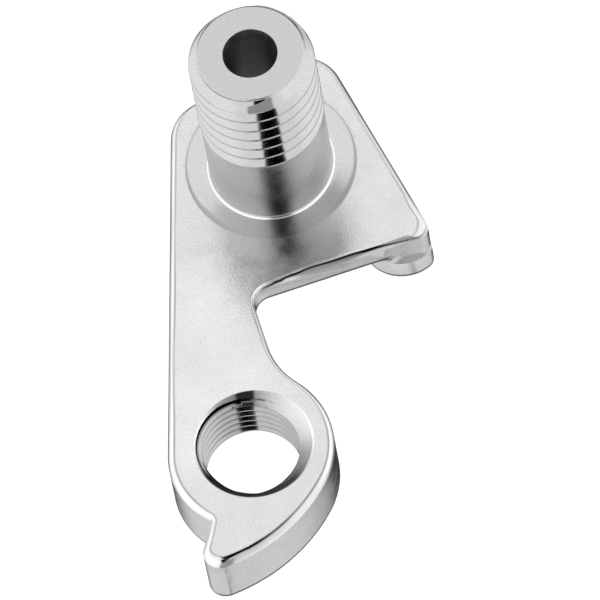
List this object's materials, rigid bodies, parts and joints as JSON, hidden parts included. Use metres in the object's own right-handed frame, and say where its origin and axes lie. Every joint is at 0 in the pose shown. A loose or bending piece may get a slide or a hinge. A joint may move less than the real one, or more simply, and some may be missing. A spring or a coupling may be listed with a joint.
{
  "type": "derailleur hanger",
  "caption": "Bicycle derailleur hanger: thin plate with a hollow threaded stud, an offset arm with a threaded eye, a stop tooth at its end and a small lug on the back.",
  "frame": {"origin": "on the stud's axis, in the plane of the plate's front face", "axes": "+Z along the stud away from the plate, -Y towards the derailleur eye and the tooth, +X towards the slanted edge and the lug"},
  "size_m": [0.0246, 0.0542, 0.0275],
  "materials": {
    "bright_aluminium": "bright satin, clear anodised"
  },
  "bodies": {
    "root": {"hanger": "bright_aluminium"}
  },
  "joints": []
}
